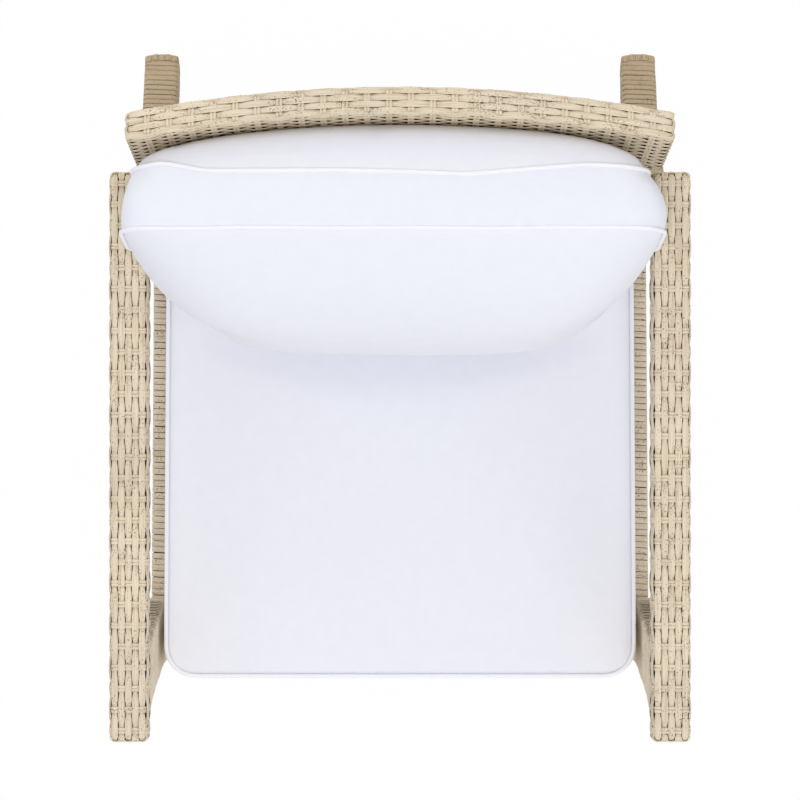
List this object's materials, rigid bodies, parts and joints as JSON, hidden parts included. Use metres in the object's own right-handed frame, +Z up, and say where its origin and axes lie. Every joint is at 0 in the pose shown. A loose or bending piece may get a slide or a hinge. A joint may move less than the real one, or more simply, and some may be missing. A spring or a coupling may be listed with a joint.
{
  "type": "woven outdoor lounge chair",
  "caption": "Low lounge chair: aluminium frame wrapped in woven flat resin strand, bowed reclined back, level arms, sweeping back legs and loose zipped seat and back cushions.",
  "frame": {"origin": "on the floor under the middle of the chair", "axes": "+X across the chair, to the right of someone looking from the front towards the back; +Y towards the back; +Z up"},
  "size_m": [0.75, 0.95, 0.8205],
  "materials": {
    "strand_weave": "flat resin strand in a pale whitewashed beige, basket weave",
    "wrapped_strand": "flat resin strand wound close round the leg",
    "frame_aluminium": "powder coated tube",
    "glide_plastic": "hard black plastic",
    "bolt_steel": "stainless",
    "webbing": "elastic webbing",
    "cushion_fill": "foam wrapped in fibre",
    "cushion_fabric": "smooth close-woven white outdoor cloth",
    "piping_fabric": "self piping in the same cloth",
    "zip_tape": "white nylon coil zip"
  },
  "bodies": {
    "frame": {"arm_tube_left": "frame_aluminium", "arm_tube_right": "frame_aluminium", "arm_weave_left": "strand_weave", "arm_weave_right": "strand_weave", "back_glide_left": "glide_plastic", "back_glide_right": "glide_plastic", "back_leg_tube_left": "frame_aluminium", "back_leg_tube_right": "frame_aluminium", "back_leg_weave_left": "wrapped_strand", "back_leg_weave_right": "wrapped_strand", "backrest_bolts_left": "bolt_steel", "backrest_bolts_right": "bolt_steel", "backrest_bottom_tube": "frame_aluminium", "backrest_stile_left": "frame_aluminium", "backrest_stile_right": "frame_aluminium", "backrest_top_tube": "frame_aluminium", "backrest_weave": "strand_weave", "front_cross_tube": "frame_aluminium", "front_cross_weave": "strand_weave", "front_glide_left": "glide_plastic", "front_glide_right": "glide_plastic", "front_leg_tube_left": "frame_aluminium", "front_leg_tube_right": "frame_aluminium", "front_leg_weave_left": "strand_weave", "front_leg_weave_right": "strand_weave", "rear_cross_tube": "frame_aluminium", "seat_straps_across": "webbing", "seat_straps_along": "webbing", "side_rail_tube_left": "frame_aluminium", "side_rail_tube_right": "frame_aluminium", "side_rail_weave_left": "strand_weave", "side_rail_weave_right": "strand_weave"},
    "seat_cushion": {"seat_cushion_cover": "cushion_fabric", "seat_cushion_foam": "cushion_fill", "seat_cushion_piping_bottom": "piping_fabric", "seat_cushion_piping_top": "piping_fabric", "seat_cushion_zip": "zip_tape"},
    "back_cushion": {"back_cushion_cover": "cushion_fabric", "back_cushion_filling": "cushion_fill", "back_cushion_piping_front": "piping_fabric", "back_cushion_piping_rear": "piping_fabric", "back_cushion_zip": "zip_tape"}
  },
  "joints": [
    {"name": "seat_cushion_lift", "type": "slide", "parent": "frame", "child": "seat_cushion", "axis": [0, -0.9962, 0.0872], "range_m": [0, 0.72]},
    {"name": "back_cushion_lift", "type": "slide", "parent": "frame", "child": "back_cushion", "axis": [0, 0.1219, 0.9925], "range_m": [0, 0.46]}
  ]
}
